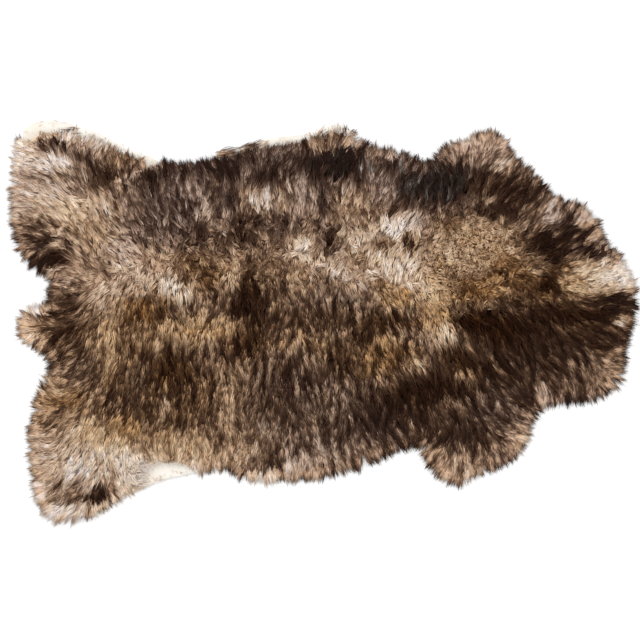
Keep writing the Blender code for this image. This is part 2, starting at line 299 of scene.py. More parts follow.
# The patches of the fleece, later rows over earlier ones. Columns: place, half length and half width in mm,
# darkness and warmth in hundredths, and the turn in degrees of one that is turned.
# Warmths near 0 give dark patches the painted bluish sheen of the wool's coolest tint.
PATCHES = (
    # left hind leg
    (-445, 220, 105, 95, 30, 27), (-440, 190, 75, 30, 24, 50, 10), (-500, 305, 25, 25, 6, 35),
    (-420, 320, 45, 10, 0, 27, -10), (-452, 298, 31, 12, 95, 30, -12), (-452, 266, 30, 12, -20, 32),
    (-428, 248, 26, 15, 65, 35), (-385, 285, 25, 15, 60, 30), (-374, 300, 34, 9, 12, 30, -25),
    (-360, 247, 36, 35, 92, 45), (-402, 274, 22, 11, 84, 35, -30), (-404, 226, 18, 12, 68, 35),
    # The last two rows on the next line are painted shade: the dark under the leg's wool where it droops
    # over its lower rim, and at the end of the parting there.
    (-316, 270, 42, 20, 60, 62, -15), (-456, 106, 36, 16, 105, 50, 22), (-482, 100, 22, 12, 105, 50),
    (-380, 155, 35, 40, 45, 60), (-412, 190, 26, 13, 5, 60, 40), (-422, 155, 12, 8, 75, 60, -20),
    (-322, 188, 34, 42, 54, 40), (-364, 186, 18, 16, 28, 40), (-468, 240, 32, 20, 48, 34),
    (-446, 220, 16, 12, 20, 30), (-505, 200, 20, 24, 44, 30), (-507, 272, 14, 16, 0, 35),
    (-478, 150, 42, 30, 79, 40, 10), (-470, 127, 22, 15, 90, 40), (-372, 122, 16, 18, 42, 45),
    # rump and tail
    (-325, 108, 30, 45, 34, 30, 20), (-362, 50, 38, 34, 31, 40), (-430, 34, 26, 30, 86, 50),
    (-440, -20, 35, 40, 88, 65), (-497, 2, 20, 16, 38, 50), (-482, 22, 14, 7, -10, 30),
    (-494, 10, 13, 5, 85, 45), (-472, -8, 13, 14, 76, 55), (-491, -30, 20, 11, 22, 45),
    (-477, -17, 14, 7, 86, 50, -20), (-390, -26, 27, 38, 75, 65), (-395, -80, 45, 26, 79, 40),
    (-355, -42, 24, 64, 38, 70), (-404, 92, 28, 18, 50, 50), (-440, 76, 34, 15, 50, 40),
    (-400, 22, 18, 18, 66, 50), (-308, 78, 20, 28, 31, 40),
    # right hind leg
    (-420, -220, 85, 80, 31, 40), (-425, -130, 55, 25, 63, 85, -10), (-450, -162, 32, 20, 68, 60),
    (-390, -180, 30, 20, 20, 70), (-326, -177, 38, 14, 40, 95, -25), (-348, -206, 44, 17, 18, 85, -18),
    (-470, -215, 15, 25, 42, 34), (-400, -242, 32, 26, -2, 36), (-320, -228, 50, 22, 0, 45, -20),
    (-445, -280, 45, 15, 70, 40), (-332, -266, 52, 18, -5, 45, 18), (-379, -288, 36, 16, 108, 45, 20),
    (-352, -305, 28, 10, -10, 50, 25), (-405, -274, 20, 10, 44, 30, -30), (-440, -317, 40, 15, 4, 30),
    (-474, -282, 18, 20, 28, 33), (-443, -104, 24, 12, 48, 55), (-376, -124, 24, 24, 56, 55),
    # right flank
    (-265, -115, 110, 62, 79, 75), (-258, -78, 40, 26, 89, 85), (-308, -88, 20, 32, 72, 45),
    (-318, -40, 25, 38, 71, 75), (-265, -138, 10, 22, 44, 45), (-332, -132, 30, 25, 80, 60),
    (-242, -194, 65, 17, 46, 70, -5), (-215, -215, 80, 20, 34, 65, -4), (-270, -250, 60, 18, 0, 35),
    (-155, -130, 17, 60, 49, 60), (-140, -210, 35, 20, 42, 50, -20), (-90, -175, 20, 15, 40, 24),
    (-62, -120, 50, 65, 80, 34), (-20, -106, 26, 16, 100, 34), (-88, -152, 18, 14, 88, 40),
    (-142, -72, 30, 15, 54, 60, 10), (-68, -84, 16, 15, 84, 50), (-86, -236, 32, 20, 82, 40),
    (-164, -200, 20, 13, 76, 55), (-40, -238, 26, 15, 24, 30), (-96, -264, 30, 9, 8, 40),
    (14, -252, 30, 12, 72, 40), (0, -205, 55, 30, 49, 24), (45, -215, 30, 20, 68, 34),
    (6, -134, 46, 50, 71, 34), (25, -180, 35, 24, 81, 36), (100, -160, 50, 55, 92, 12, 20),
    (90, -212, 26, 13, 66, 40), (114, -100, 28, 21, 50, 35), (-40, -195, 15, 20, 65, 30),
    (-28, -210, 16, 13, 88, 30),
    # right fore leg
    (210, -160, 105, 75, 88, 40), (175, -115, 85, 30, 100, 70, 10), (220, -190, 25, 20, 91, 35),
    (212, -140, 38, 13, 72, 50), (230, -240, 55, 20, 47, 45), (295, -225, 35, 15, 70, 36),
    (335, -178, 26, 42, 48, 40, -20), (300, -130, 50, 45, 77, 27), (337, -138, 20, 14, 94, 40),
    (238, -90, 26, 14, 58, 65), (285, -82, 26, 18, 96, 75), (228, -62, 34, 17, 92, 95, -20),
    (170, -220, 25, 15, 60, 50),
    # neck, right side
    (385, -35, 140, 75, 92, 50), (445, -10, 75, 15, 90, 72), (300, -14, 55, 22, 100, 100),
    (424, 13, 85, 12, 102, 85), (445, -80, 45, 35, 75, 42), (480, -80, 22, 38, 60, 45),
    (460, -38, 25, 16, 92, 65), (420, -130, 40, 14, 89, 25), (462, -106, 18, 11, 60, 40),
    (347, -103, 14, 14, 95, 40), (366, -114, 25, 8, 38, 28, -62), (497, 2, 16, 8, 26, 35),
    # neck, left side
    (385, 68, 100, 42, 84, 85), (385, 68, 20, 16, 115, 100), (322, 218, 60, 38, 95, 50),
    (368, 130, 83, 25, 106, 55, -6), (426, 124, 18, 11, 58, 30), (422, 150, 20, 10, 100, 40),
    (466, 112, 50, 9, 120, 24, -14), (466, 133, 24, 8, 40, 30, -25), (412, 176, 20, 28, 100, 27, -20),
    (430, 196, 22, 16, 56, 33), (442, 174, 18, 12, 38, 30), (380, 185, 18, 24, 45, 20),
    (455, 78, 58, 30, 4, 50, 6), (420, 66, 22, 24, 34, 70), (492, 34, 36, 15, 108, 50),
    (357, 90, 16, 15, 55, 55), (396, 93, 13, 11, 85, 80), (502, 82, 24, 24, -15, 36),
    # left fore leg
    (275, 290, 35, 25, 57, 27), (230, 302, 20, 10, 12, 30), (212, 285, 27, 20, 71, 36),
    (195, 230, 80, 40, 100, 0), (275, 230, 35, 20, 93, 55), (270, 205, 25, 13, 72, 40),
    (300, 265, 20, 11, 26, 30, 10), (335, 258, 26, 13, 76, 40, -38),
    # withers
    (260, 130, 75, 55, 35, 65), (248, 50, 42, 26, 72, 95), (308, 80, 34, 32, 66, 90),
    (208, 162, 20, 14, 68, 65), (325, 172, 30, 20, 72, 45), (286, 184, 30, 14, 93, 45),
    (228, 190, 28, 9, 80, 40), (255, 3, 50, 14, 110, 100), (282, 58, 20, 13, 46, 90),
    (211, 76, 20, 17, 95, 80),
    # shoulders
    (125, 95, 92, 45, 8, 45), (121, 158, 35, 22, -25, 34), (50, 138, 40, 20, 14, 45),
    (56, 100, 24, 13, 71, 55), (100, 130, 20, 10, 70, 55), (145, 135, 16, 20, 92, 60),
    (173, 122, 15, 36, 48, 50), (186, 48, 26, 32, 17, 75), (186, -2, 28, 20, 32, 80),
    (188, 18, 24, 10, 52, 85), (200, -25, 20, 15, 8, 55), (195, 95, 15, 25, 48, 70),
    (125, 38, 35, 16, 44, 85), (98, 58, 22, 13, 68, 70), (156, 172, 16, 15, 36, 20),
    (100, 189, 22, 12, 86, 35),
    # back
    (4, 129, 27, 16, 98, 34), (8, 156, 18, 12, 88, 40), (-30, 120, 25, 25, -6, 40),
    (10, 95, 45, 17, 26, 40, -10), (46, 72, 28, 14, 24, 30, -30), (-40, 70, 20, 25, 48, 60),
    (24, 40, 42, 13, 66, 30), (106, -3, 64, 14, 88, 85), (-20, 2, 75, 22, 82, 60),
    (-97, 2, 22, 14, 98, 60), (-65, -35, 62, 13, 62, 70), (108, -35, 20, 11, 16, 80),
    (66, -22, 17, 13, 94, 75), (155, -70, 13, 12, 20, 60), (85, -65, 45, 30, 68, 85),
    (125, -52, 35, 18, 74, 90), (28, -54, 26, 22, 80, 70), (-6, -40, 20, 18, 60, 70),
    (26, -74, 22, 15, 92, 60),
    # loin
    (-120, 50, 21, 48, 100, 80), (-131, -32, 33, 32, 102, 80), (-155, 90, 20, 25, 44, 60),
    (-195, 76, 35, 30, 77, 80), (-224, 106, 28, 26, 72, 75), (-270, 120, 32, 42, 48, 50),
    (-262, 62, 66, 17, 18, 45, -18), (-190, 44, 22, 14, 67, 60), (-240, 50, 23, 15, -2, 50),
    (-154, 70, 15, 13, 24, 60), (-297, 16, 42, 26, 70, 95), (-205, -13, 75, 24, 41, 80),
    (-134, 20, 30, 15, 100, 75), (-290, -30, 35, 15, 58, 70), (-92, 80, 25, 25, 66, 60),
    (-88, 124, 24, 15, 60, 50), (-85, 38, 15, 32, 74, 55),
    # left flank
    (-120, 257, 185, 25, 102, 10), (-278, 242, 36, 18, 100, 30, 20), (-258, 234, 34, 22, 100, 20),
    (-240, 195, 80, 60, 77, 13), (-84, 266, 62, 24, 88, 13), (-275, 158, 45, 25, 73, 20),
    (-215, 225, 15, 18, 58, 20), (-192, 186, 14, 18, 42, 28), (-206, 152, 14, 20, 84, 30),
    (-160, 205, 15, 25, 86, 8), (-135, 158, 24, 24, 90, 45), (-172, 154, 14, 16, 57, 35),
    (-155, 178, 14, 10, 60, 30), (-101, 204, 28, 16, 16, 28), (-72, 165, 34, 20, 80, 27),
    (-130, 250, 11, 14, 55, 20), (-35, 214, 25, 46, 50, 20), (25, 264, 51, 45, 110, 5),
    (5, 306, 40, 12, 64, 45, 10), (52, 303, 18, 12, 46, 35), (50, 195, 50, 30, 54, 50),
    (0, 205, 10, 55, 80, 12), (75, 258, 14, 24, 66, 8), (94, 256, 18, 18, 95, 10),
    (100, 226, 25, 28, 60, 15), (35, 225, 20, 15, 56, 24), (125, 268, 32, 18, 84, 10),
    (152, 224, 26, 22, 92, 0), (112, 289, 20, 10, 50, 20), (-70, 290, 44, 12, 74, 15, 8),
)
FLEECE_DARKNESS = 0.68  # between the patches
FLEECE_WARMTH = 0.45
PATCH_EDGE = 1.6  # the higher, the sharper a patch ends
PATCH_SIZE = 1.1  # the square of how much farther it reaches than its half length and width
PATCH_STRAY = 0.007  # how far the patches' edges wander, and over what length
PATCH_STRAY_LENGTH = 0.022
PATCH_STRAY_LAYERS = (5.0, 6.0)

# Lines along which the wool parts and shows its pale roots: from and to, and the strip's width in mm.
PARTINGS = (
    (-388, 208, -452, 134, 4),
    (-344, 235, -275, 268, 4),
)
PARTING_DARKNESS = 0.06

# Places where the locks are worn off, down to the pale underwool.
# Columns: place, half length, half width, darkness.
WORN = (
    (-490, 312, 20, 13, 0.13), (-460, 325, 38, 11, 0.10), (-274, -245, 62, 18, -0.15),
)
WORN_WARMTH = 0.5
WORN_EDGE = 2  # the higher, the sharper a worn place ends


def waves(places, size, layer):
    """Soft noise from about -1 to 1 at each place."""
    return np.array([wander(place, size, layer) for place in places])


def near(places, middle, reach, edge=1):
    """How near each place is to the middle of a spot, from 1 in it to 0 well past its reach."""
    from_middle = (places / MM - middle) / reach
    return np.exp(-np.sum(from_middle ** 2, axis=1) ** edge)


def worn_by(places, row):
    """How worn the wool is at each place by one row of those above, from 0 to 1."""
    return near(places, row[:2], row[2:4], WORN_EDGE)


def worn_at(places):
    """How worn the wool is at each place, from 0 to 1."""
    return np.max([worn_by(places, row) for row in WORN], axis=0)


def from_parting(places, parting):
    """Distance of each place from a parting as a share of its width, and the way straight off it."""
    start, end = np.array(parting[:2]) * MM, np.array(parting[2:4]) * MM
    line = end - start
    share = np.clip((places - start) @ line / (line @ line), 0.0, 1.0)
    away = places - (start + share[:, None] * line)
    return np.linalg.norm(away, axis=1) / (parting[4] * MM), away


def parted_by(places, parting):
    """How far one parting bares the roots at each place, from 0 to 1."""
    return np.exp(-from_parting(places, parting)[0] ** 2)


def shade_at(places):
    """How dark and how warm the fleece is at each place, mostly from 0 to 1."""
    places = np.asarray(places)[:, :2]
    stray = np.stack([waves(places, PATCH_STRAY_LENGTH, layer) for layer in PATCH_STRAY_LAYERS], axis=1)
    at = (places + PATCH_STRAY * stray) / MM
    dark = np.full(len(at), FLEECE_DARKNESS)
    warm = np.full(len(at), FLEECE_WARMTH)
    for along, across, half_length, half_width, darkness, warmth, *turn in PATCHES:
        angle = math.radians(turn[0]) if turn else 0.0
        cosine, sine = math.cos(angle), math.sin(angle)
        x, y = at[:, 0] - along, at[:, 1] - across
        u = (x * cosine + y * sine) / half_length
        v = (y * cosine - x * sine) / half_width
        cover = np.exp(-((u * u + v * v) / PATCH_SIZE) ** PATCH_EDGE)
        dark += (darkness / 100 - dark) * cover
        warm += (warmth / 100 - warm) * cover
    for row in WORN:
        worn = worn_by(places, row)
        dark += (row[4] - dark) * worn
        warm += (WORN_WARMTH - warm) * worn
    for parting in PARTINGS:
        dark += (PARTING_DARKNESS - dark) * parted_by(places, parting)
    return dark, warm


MAT_SHARE = 0.66  # the mat's height as a share of the wool's
MAT_WORN = 0.75  # and how much of that is lost where it's worn
MAT_LUMP = 0.011  # size and height of its own small lumps
MAT_LUMP_HEIGHT = 0.0018
MAT_FOOT = 0.0022


def sunk(heights, worn):
    """Heights of the mat's top under the wool's: it has worn down to the leather with the locks."""
    return SKIN_THICKNESS + MAT_SHARE * (1 - MAT_WORN * worn) * (heights - SKIN_THICKNESS)


def make_underwool():
    """The mat as a closed form: the top of the frame's slab of wool, sunk in and walled round."""
    bm = frame_solid()
    top = [f for f in bm.faces if min(v.co.z for v in f.verts) > WOOL_RIM_HEIGHT - RIM_TOLERANCE]
    keep_only(bm, top)
    bmesh.ops.subdivide_edges(bm, edges=bm.edges[:], cuts=1, use_grid_fill=True)
    worn = worn_at(np.array([v.co.xy for v in bm.verts]))
    for v, lost in zip(bm.verts, worn):
        lump = MAT_LUMP_HEIGHT * (1 - MAT_WORN * lost) * wander(v.co, MAT_LUMP, layer=7.0)
        v.co.z = sunk(v.co.z, lost) + lump
    rim = [edge for edge in bm.edges if edge.is_boundary]
    walls = bmesh.ops.extrude_edge_only(bm, edges=rim)["geom"]
    for v in walls:
        if isinstance(v, bmesh.types.BMVert):
            v.co.z = MAT_FOOT
    bmesh.ops.holes_fill(bm, edges=[edge for edge in bm.edges if edge.is_boundary])
    bmesh.ops.recalc_face_normals(bm, faces=bm.faces[:])
    bmesh.ops.triangulate(bm, faces=bm.faces[:])
    return bm


# The wool's colours from its lightest to its darkest patches, along a strand and at its tip,
# and the tint that goes over both, from cool to warm.
STRAND_COLOURS = (
    (0.00, (0.93, 0.86, 0.755)), (0.12, (0.82, 0.70, 0.555)), (0.25, (0.74, 0.595, 0.445)),
    (0.60, (0.62, 0.44, 0.30)), (1.00, (0.27, 0.162, 0.102)),
)
TIP_COLOURS = (
    (0.00, (0.70, 0.58, 0.46)), (0.12, (0.42, 0.31, 0.215)), (0.35, (0.25, 0.168, 0.106)),
    (0.65, (0.152, 0.088, 0.053)), (0.85, (0.067, 0.034, 0.020)), (1.00, (0.026, 0.0108, 0.0060)),
)
# Their cool, bluish end is painted sheen: the cast that the light lays on the dark wool, as along the left
# flank's rim.
WARMTH_TINTS = (
    (0.00, (0.86, 1.14, 1.52)), (0.14, (0.97, 0.975, 1.13)), (0.40, (1.01, 0.945, 0.93)),
    (0.70, (0.99, 0.86, 0.69)), (1.00, (0.98, 0.73, 0.40)),
)
TIP_START = 1.15  # where a strand's dark tip starts if it has no darkness at all
TIP_GROWTH = 1.08  # how much nearer to its root that comes at full darkness,
TIP_GROWTH_CURVE = 1.35  # and how little of it comes in pale wool: the higher, the less
TIP_SOFTNESS = 0.34
STREAK_IN_TIP = 0.22  # how unevenly the dark starts across a strand
FIBRE_CONTRAST = 0.07
WOOL_SHINE = 0.06


def wool_colour_group():
    """Colour of a strand of wool, pale at its root and dark from some way along it to its tip."""
    group = bpy.data.node_groups.new("wool_colour", "ShaderNodeTree")
    for name in ("Darkness", "Warmth", "Along", "Streak"):
        group.interface.new_socket(name=name, in_out="INPUT", socket_type="NodeSocketFloat")
    group.interface.new_socket(name="Color", in_out="OUTPUT", socket_type="NodeSocketColor")
    given = group.nodes.new("NodeGroupInput").outputs
    streak = add_math(group, "SUBTRACT", given["Streak"], 0.5)
    along = add_math(group, "ADD", given["Along"], add_math(group, "MULTIPLY", streak, STREAK_IN_TIP))
    growth = add_math(group, "POWER", given["Darkness"], TIP_GROWTH_CURVE)
    start = add_math(group, "SUBTRACT", TIP_START, add_math(group, "MULTIPLY", growth, TIP_GROWTH))
    ends = [add_math(group, operation, start, TIP_SOFTNESS) for operation in ("SUBTRACT", "ADD")]
    tip = add_range(group, along, ends, interpolation_type="SMOOTHSTEP")
    lengths = add_ramp(group, given["Darkness"], STRAND_COLOURS)
    tips = add_ramp(group, given["Darkness"], TIP_COLOURS)
    mixed = add_node(group, "MixRGB", {0: tip, 1: lengths, 2: tips}).outputs[0]
    tint = add_ramp(group, given["Warmth"], WARMTH_TINTS)
    tinted = add_node(group, "VectorMath", {0: mixed, 1: tint}, operation="MULTIPLY").outputs[0]
    light = add_math(group, "ADD", add_math(group, "MULTIPLY", streak, FIBRE_CONTRAST), 1.0)
    lit = add_node(group, "VectorMath", {0: tinted, "Scale": light}, operation="SCALE").outputs[0]
    set_inputs(group, group.nodes.new("NodeGroupOutput"), {"Color": lit})
    return group


wool_colour = wool_colour_group()


def add_wool_colour(tree, darkness, warmth, along, streak):
    """The wool's colour group, placed in a material."""
    placed = tree.nodes.new("ShaderNodeGroup")
    placed.node_tree = wool_colour
    inputs = {"Darkness": darkness, "Warmth": warmth, "Along": along, "Streak": streak}
    set_inputs(tree, placed, inputs)
    return placed.outputs["Color"]


MAT_CLUMPS = (130.0, 4.0, 0.65)  # how many a metre, their detail and their roughness
MAT_CLUMP_RANGE = (0.3, 0.7)  # from their hollows to their crowns, which have the colours
MAT_CLUMP_COLOURS = (0.10, 0.70)  # that a strand has at these places along it
MAT_CRIMP = (520.0, 3.0, 0.6)
MAT_CRIMP_HEIGHT = 0.4  # as a share of the clumps'
MAT_RELIEF = (0.8, 0.002)  # strength and depth
MAT_ROUGHNESS = (0.65, 0.95)


def underwool_material():
    """Matted wool: crimped and streaky, showing its strands' roots in its hollows and their tips on its
    crowns.
    """
    material, tree, shader = new_material("underwool")
    where = add_node(tree, "TexCoord").outputs["Object"]
    clumps = add_noise(tree, where, *MAT_CLUMPS)
    crimp = add_noise(tree, where, *MAT_CRIMP)
    darkness = add_node(tree, "Attribute", attribute_name="darkness").outputs["Fac"]
    warmth = add_node(tree, "Attribute", attribute_name="warmth").outputs["Fac"]
    along = add_range(tree, clumps, MAT_CLUMP_RANGE, MAT_CLUMP_COLOURS)
    relief = add_math(tree, "ADD", clumps, add_math(tree, "MULTIPLY", crimp, MAT_CRIMP_HEIGHT))
    set_inputs(tree, shader, {
        "Base Color": add_wool_colour(tree, darkness, warmth, along, crimp),
        "Roughness": add_range(tree, crimp, wanted=MAT_ROUGHNESS),
        "Normal": add_bump(tree, relief, *MAT_RELIEF),
        "Specular IOR Level": WOOL_SHINE,
    })
    return material


mat_mesh = mesh_of("underwool", make_underwool())
for name, values in zip(("darkness", "warmth"), shade_at([v.co for v in mat_mesh.vertices])):
    mat_mesh.attributes.new(name, "FLOAT", "POINT").data.foreach_set("value", values)
underwool = new_object("underwool", mat_mesh, underwool_material())
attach(underwool, "root")
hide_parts("sheepskin")


# The locks of wool
# The long wool stands in thousands of small locks of crimped hairs that taper together to a tip. It
# lies back from the spine like thatch, curls where it stands up at the withers, and droops at the rim.

WOOL_SEED = 11
LOCK_PITCH = 0.0079  # between neighbouring locks
RIM_LOCK_PITCH = 0.0058  # and between the extra ones along the rim
RIM_BAND = (0.0005, 0.012)  # which stand between these distances from it
ROW_SPACING = math.sqrt(0.75)  # of locks that stand in triangles, as a share of their pitch
LOCK_STRAY = 0.38  # share of the pitch by which they leave their rows
LOCK_RUN = 0.027  # how far a lock lies over, from its root to its tip
UPRIGHT_RUN = 0.35  # share of that where the wool stands up
RUN_UNEVEN = 0.16
SHORTEST_LOCK = 0.006
RIM_REACH = 0.0175  # how far the rim's locks reach past the slab,
RIM_REACH_EXTRA = 0.0040  # and how much farther where the wool is swept outwards,
SWEPT_RIGHT = (-0.02, 0.04)  # which grows between these distances to the right of the spine
SWEPT_ENDS = (0.43, 0.48)  # and along it to the tail and the neck
RIM_REACH_UNEVEN = 0.07
FULLER_RIM = (  # where they reach farther or less far. Columns: place, radius, by how much
    (-190, -247, 30, 5), (-102, -264, 25, 5), (75, -238, 40, 6), (15, -254, 25, 3), (260, -260, 30, -3),
    (459, -125, 30, 4), (-440, 60, 22, 11), (-462, 98, 16, 9), (-465, 22, 14, -7), (-485, -34, 14, 5),
    (-445, -70, 20, 6), (-190, 272, 35, -5), (-162, 274, 20, -6), (240, -250, 14, -7), (80, -228, 16, 5),
    (-105, -250, 24, 5), (165, 286, 45, 3), (300, 300, 40, 3), (-58, 295, 38, -8), (25, 310, 28, -9),
    (-449, 38, 12, 8), (221, -262, 9, 10), (-447, -318, 12, 8), (-425, -318, 30, 5),
)
TOOTH_SIZE = 0.010  # the rim's locks end in teeth of this size, longer by this share
TOOTH_UNEVEN = 0.11
BARE_SHARE = 0.55  # share of their reach where they would lie on bare leather,
BARE_HEIGHT = SKIN_THICKNESS * 1.2  # which the frame's solid shows where it's no higher than this
DROOP_HEIGHT = 0.0022  # the rim's tips end this high over the floor,
OVER_GROUND = 0.0012  # and any tip at least this high over what it lies on
WORN_OFF = (0.3, 0.8)  # the first locks are missing at this much wear, and the last at that
BARED = 0.5  # a place is kept bare where it's worn or parted by more than this
SHORTENING = (0.85, 0.7, 0.55, 0.4, 0.6)  # a lock over such a place at one of these shares ends there
SHADE_PLACE = 0.6  # wool has the shade of the place that lies this share of its run on
LOCK_DARKNESS_UNEVEN = 0.025
WARMTH_UNEVEN = 0.03

# How the wool was laid down. Columns: along the spine, where across the hide it turns to the other side,
# and how far it leans along the spine for each unit outwards, left and right of that.
LAY = (
    (-520, 10, -3.0, -2.0), (-440, 45, -1.2, -0.8), (-380, 75, -0.45, -0.30), (-320, 86, -0.55, -0.08),
    (-265, 92, -0.36, -0.03), (-205, 98, -0.10, 0.0), (-90, 108, -0.08, 0.0), (-30, 104, 0.0, 0.10),
    (60, 80, 0.10, 0.16), (130, 66, 0.35, 0.22), (200, 84, 0.30, 0.33), (260, 92, 0.35, 0.46),
    (330, 92, 0.90, 0.60), (390, 92, 1.1, 0.80), (440, 38, 1.3, 0.95), (520, 15, 2.0, 1.7),
)
TURN_WIDTH = 0.010  # over what width it turns
TURN_MIX = 0.014  # how far locks of either side mix across it
END_FAN = (0.25, 0.50)  # between these distances along, to either end, it comes to fan out instead,
END_FAN_WIDTH = 0.055  # over this width
END_FAN_MIX = 0.5  # and with so much less mixing
LAY_SQUARE = 0.008  # spacing of the grid on which the way to the rim is worked out
RIM_PULL = 0.85  # near the rim the wool turns straight outwards, within this distance
RIM_PULL_WIDTH = 0.045
SWEPT = (  # where it was swept another way. Columns: place, radius, and that way
    (-435, -295, 50, -0.8, -0.6), (-70, 262, 70, 0.3, 1.0),
)
PARTING_PULL = 1.4  # and so many of its widths beside a parting it lies away from it
LIE_SWINGS = (  # how tufts swing apart: over what length, how far in radians, layer of noise
    (0.045, 0.42, 8.0), (0.016, 0.30, 9.0),
)
LIE_JITTER = 0.13  # how far single locks do,
STAND_JITTER = 2.5  # by so many times more where the wool stands up,
CURL_JITTER = 7.0  # and by so many where it curls
TURN_STAND = 0.30  # how upright the wool is where it turns, and how wide that strip is
TURN_STAND_WIDTH = 0.025
CURLS = (  # where it stands up and curls: place, half length, half width, how much
    (245, 105, 85, 75, 1.0), (-170, 118, 170, 52, 0.42), (60, 130, 90, 60, 0.30),
    (365, 60, 45, 45, 0.45), (455, 80, 50, 30, 0.25),
)
CURL_EDGE = 1.5  # the higher, the sharper such a place ends


def rim_grid():
    """The places along each side of a grid over the hide, and the distance to the wool's rim on it."""
    reach_x, reach_y = cad_box[1].x + 3 * LAY_SQUARE, cad_box[1].y + 3 * LAY_SQUARE
    xs, ys = np.arange(-reach_x, reach_x, LAY_SQUARE), np.arange(-reach_y, reach_y, LAY_SQUARE)
    distance = np.array([[rim_distance(x, y) for x in xs] for y in ys])
    for _ in range(2):
        around = np.pad(distance, 1, mode="edge")
        sides = around[:-2, 1:-1] + around[2:, 1:-1] + around[1:-1, :-2] + around[1:-1, 2:]
        distance = (distance * 2 + sides) / 6
    return xs, ys, distance


def read_off(grid, places):
    """Values of a grid at places between its points."""
    xs, ys, values = grid
    column = np.clip((places[:, 0] - xs[0]) / (xs[1] - xs[0]), 0, len(xs) - 1.001)
    row = np.clip((places[:, 1] - ys[0]) / (ys[1] - ys[0]), 0, len(ys) - 1.001)
    i, j = column.astype(int), row.astype(int)
    u, v = column - i, row - j
    lower = values[j, i] * (1 - u) + values[j, i + 1] * u
    upper = values[j + 1, i] * (1 - u) + values[j + 1, i + 1] * u
    return lower * (1 - v) + upper * v


# The distance to the rim, and the way out to it along each axis.
to_rim = rim_grid()
slope_y, slope_x = np.gradient(to_rim[2], LAY_SQUARE)
out_x, out_y = (*to_rim[:2], -slope_x), (*to_rim[:2], -slope_y)


def unit(vectors):
    """The vectors at length 1."""
    return vectors / np.maximum(np.linalg.norm(vectors, axis=-1, keepdims=True), 1e-9)


def turned(vectors, angles):
    """The vectors turned by these angles, in radians."""
    x, y = vectors.T
    cosine, sine = np.cos(angles), np.sin(angles)
    return np.stack([x * cosine - y * sine, x * sine + y * cosine], axis=1)


def outwards_at(places):
    """The way straight to the rim and off the hide at each place."""
    return unit(np.stack([read_off(out_x, places), read_off(out_y, places)], axis=1))


def bare_at(places):
    """How bare the rug is at each place, from 0 to 1: worn, or in a parting."""
    return np.max([worn_at(places), *(parted_by(places, parting) for parting in PARTINGS)], axis=0)


def lay_at(places):
    """Where across the hide the wool turns at each place, and its lean to the left and right of that."""
    along, *columns = zip(*LAY)
    turn, left_lean, right_lean = (np.interp(places[:, 0] / MM, along, column) for column in columns)
    return turn * MM, left_lean, right_lean


def stand_at(places):
    """How far the wool stands up at each place, from 0 to 1, and how far it curls."""
    turn = lay_at(places)[0]
    upright = TURN_STAND * np.exp(-((places[:, 1] - turn) / TURN_STAND_WIDTH) ** 2)
    curl = np.max([row[4] * near(places, row[:2], row[2:4], CURL_EDGE) for row in CURLS], axis=0)
    return np.maximum(upright, curl), curl


def pulled(lie, way, pull):
    """The wool's lie, pulled over to another way: not at all at 0, and wholly at 1."""
    pull = pull[:, None]
    return unit(lie * (1 - pull) + way * pull)


def lie_at(places, rng):
    """The way each lock lies, as a unit vector."""
    turn, left_lean, right_lean = lay_at(places)
    fan = eased(np.abs(places[:, 0]), *END_FAN)
    turn_width = TURN_WIDTH + (END_FAN_WIDTH - TURN_WIDTH) * fan
    mixed = turn + rng.normal(0.0, TURN_MIX * (1 - fan * END_FAN_MIX))
    side = np.tanh((places[:, 1] - mixed) / turn_width)
    lean = (left_lean * (1 + side) + right_lean * (1 - side)) / 2
    lie = unit(np.stack([lean, side], axis=1))
    near_rim = np.exp(-(read_off(to_rim, places) / RIM_PULL_WIDTH) ** 2)
    lie = pulled(lie, outwards_at(places), RIM_PULL * near_rim)
    for along, across, radius, *way in SWEPT:
        lie = pulled(lie, unit(np.array(way)), near(places, (along, across), radius))
    for parting in PARTINGS:
        distance, away = from_parting(places, parting)
        lie = pulled(lie, unit(away), np.exp(-(distance / PARTING_PULL) ** 2))
    stand, curl = stand_at(places)
    swing = rng.normal(0.0, LIE_JITTER * (1 + STAND_JITTER * stand + CURL_JITTER * curl))
    for size, angle, layer in LIE_SWINGS:
        swing = swing + angle * waves(places, size, layer)
    return turned(lie, swing)


def lock_places(pitch, nearest, farthest, rng):
    """Uneven rows of places for locks, at such distances from the wool's rim."""
    rows = np.arange(cad_box[0].y, cad_box[1].y, pitch * ROW_SPACING)
    columns = np.arange(cad_box[0].x, cad_box[1].x, pitch)
    x, y = np.meshgrid(columns, rows)
    x[1::2] += pitch / 2
    places = np.stack([x.ravel(), y.ravel()], axis=1)
    places += rng.uniform(-LOCK_STRAY, LOCK_STRAY, places.shape) * pitch
    away = np.array([rim_distance(*place) for place in places])
    kept = (away > nearest) & (away < farthest)
    return places[kept], away[kept]


skin_polygons = [face.vertices for face in skin_mesh.polygons]
skin_surface = BVHTree.FromPolygons([v.co for v in skin_mesh.vertices], skin_polygons)


def ground_height(x, y):
    """Height of what a strand's tip comes to lie on: the wool, the leather or the floor."""
    return max(top_height(x, y), height_of(skin_surface, x, y))


